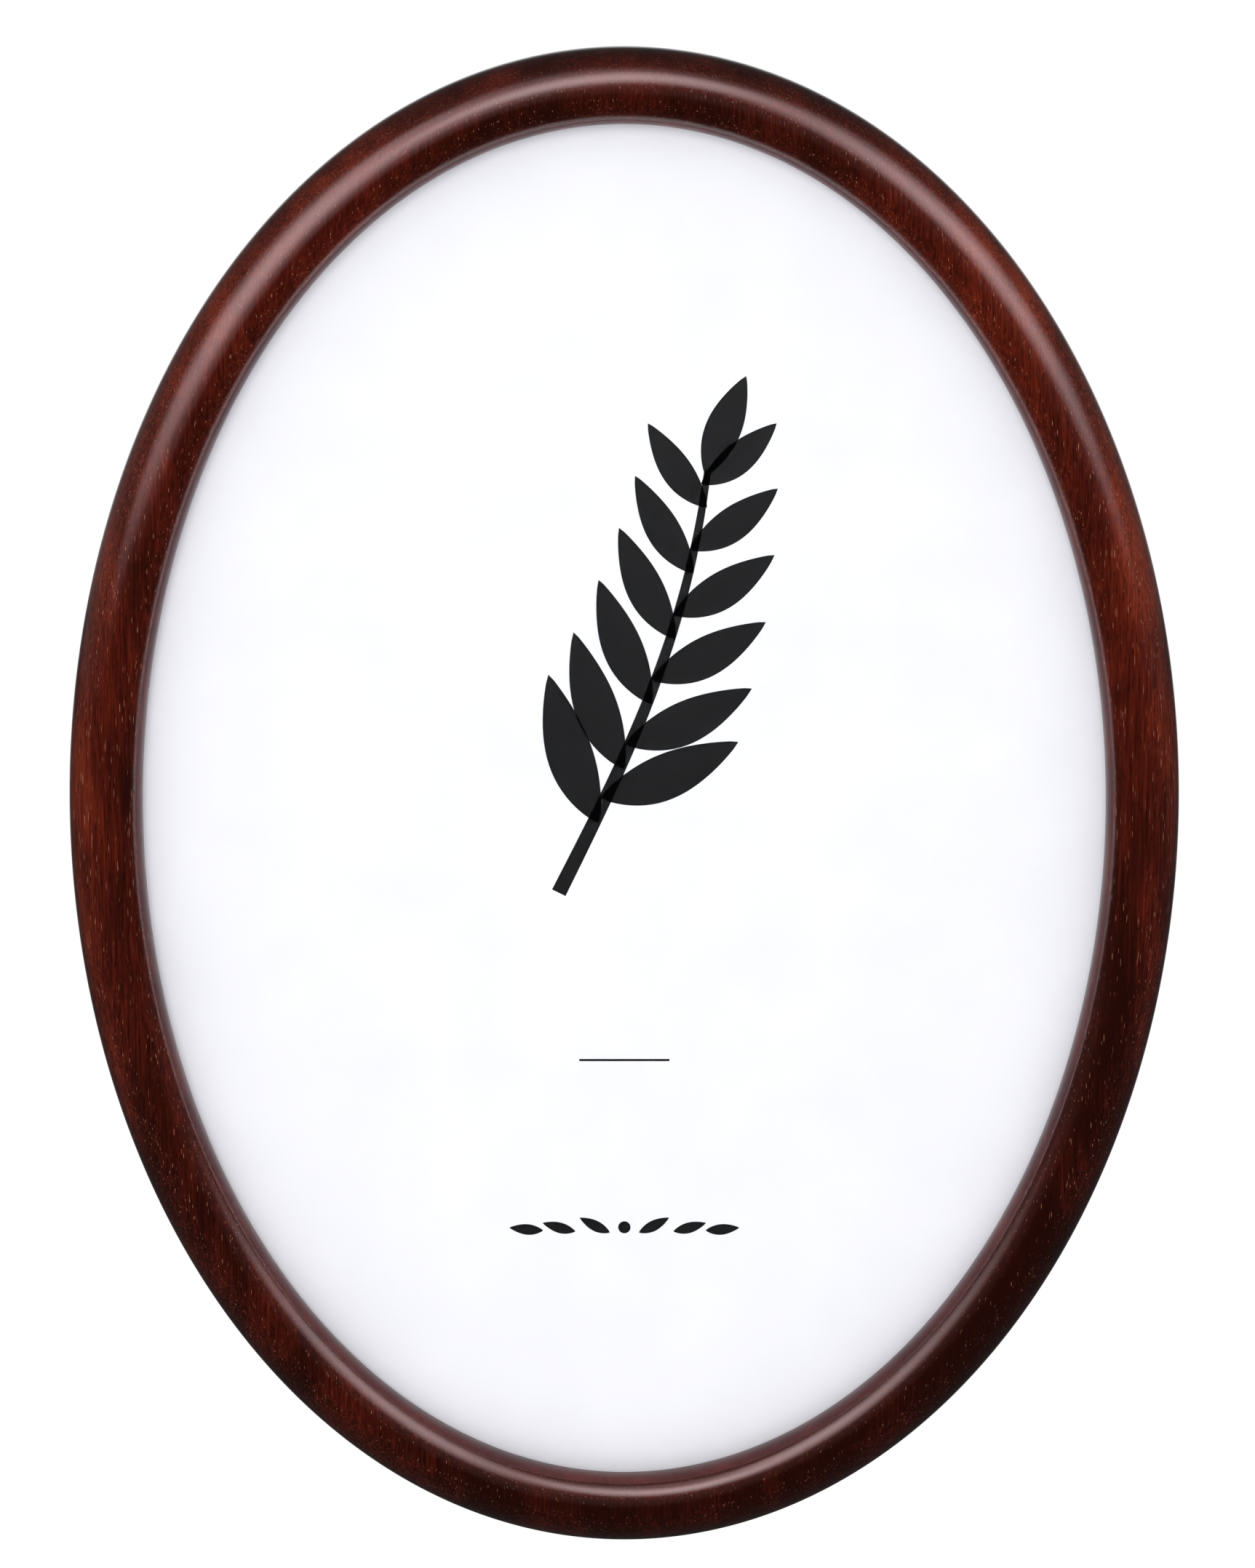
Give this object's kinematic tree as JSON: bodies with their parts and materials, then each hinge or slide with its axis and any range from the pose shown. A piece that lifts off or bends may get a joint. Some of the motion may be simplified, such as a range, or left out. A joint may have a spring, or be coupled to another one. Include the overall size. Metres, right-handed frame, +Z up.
{
  "type": "oval picture frame",
  "caption": "Upright oval picture frame with a deep half-round wooden moulding, glass, plain insert, backing board, turn buttons and wall hangers.",
  "frame": {"origin": "middle of the whole frame: the oval's centre, half way between the moulding's crest and the rearmost point of the hangers", "axes": "+Z up along the oval's long axis, +X to the right as seen from the front, +Y to the back, so the picture faces -Y"},
  "size_m": [0.2196, 0.0166, 0.2996],
  "materials": {
    "stained_wood": "dark mahogany stain under semi-gloss lacquer",
    "glass": "clear float glass",
    "paper": "smooth bluish white insert paper",
    "fibreboard": "plain natural fibreboard",
    "zinc_steel": "bright zinc plated",
    "brassed_steel": "brass plated"
  },
  "bodies": {
    "frame": {"ring_left": "stained_wood", "ring_right": "stained_wood", "ring_top": "stained_wood", "ring_bottom": "stained_wood", "glass_pane": "glass", "insert_sheet": "paper", "backing_board": "fibreboard", "button_screws": "zinc_steel", "hanger_strap_top": "brassed_steel", "hanger_strap_side": "brassed_steel", "hanger_rivets": "brassed_steel"},
    "turn_button_right": {"turn_button_right": "zinc_steel"},
    "turn_button_upper_right": {"turn_button_upper_right": "zinc_steel"},
    "turn_button_upper_left": {"turn_button_upper_left": "zinc_steel"},
    "turn_button_left": {"turn_button_left": "zinc_steel"},
    "turn_button_lower_left": {"turn_button_lower_left": "zinc_steel"},
    "turn_button_lower_right": {"turn_button_lower_right": "zinc_steel"},
    "hanger_ring_top": {"hanger_ring_top": "brassed_steel"},
    "hanger_ring_side": {"hanger_ring_side": "brassed_steel"}
  },
  "joints": [
    {"name": "turn_button_right_turn", "type": "hinge", "parent": "frame", "child": "turn_button_right", "pos_m": [0.10527, 0.00517, 0], "axis": [0, 1, 0], "continuous": true},
    {"name": "turn_button_upper_right_turn", "type": "hinge", "parent": "frame", "child": "turn_button_upper_right", "pos_m": [0.05771, 0.00517, 0.12157], "axis": [0, 1, 0], "continuous": true},
    {"name": "turn_button_upper_left_turn", "type": "hinge", "parent": "frame", "child": "turn_button_upper_left", "pos_m": [-0.05771, 0.00517, 0.12157], "axis": [0, 1, 0], "continuous": true},
    {"name": "turn_button_left_turn", "type": "hinge", "parent": "frame", "child": "turn_button_left", "pos_m": [-0.10527, 0.00517, 0], "axis": [0, 1, 0], "continuous": true},
    {"name": "turn_button_lower_left_turn", "type": "hinge", "parent": "frame", "child": "turn_button_lower_left", "pos_m": [-0.05771, 0.00517, -0.12157], "axis": [0, 1, 0], "continuous": true},
    {"name": "turn_button_lower_right_turn", "type": "hinge", "parent": "frame", "child": "turn_button_lower_right", "pos_m": [0.05771, 0.00517, -0.12157], "axis": [0, 1, 0], "continuous": true},
    {"name": "hanger_ring_top_swing", "type": "hinge", "parent": "frame", "child": "hanger_ring_top", "pos_m": [0, 0.00595, 0.108], "axis": [1, 0, 0], "range_deg": [0, 174.2]},
    {"name": "hanger_ring_side_swing", "type": "hinge", "parent": "frame", "child": "hanger_ring_side", "pos_m": [0.07, 0.00595, 0], "axis": [0, 0, -1], "range_deg": [0, 174.2]}
  ]
}
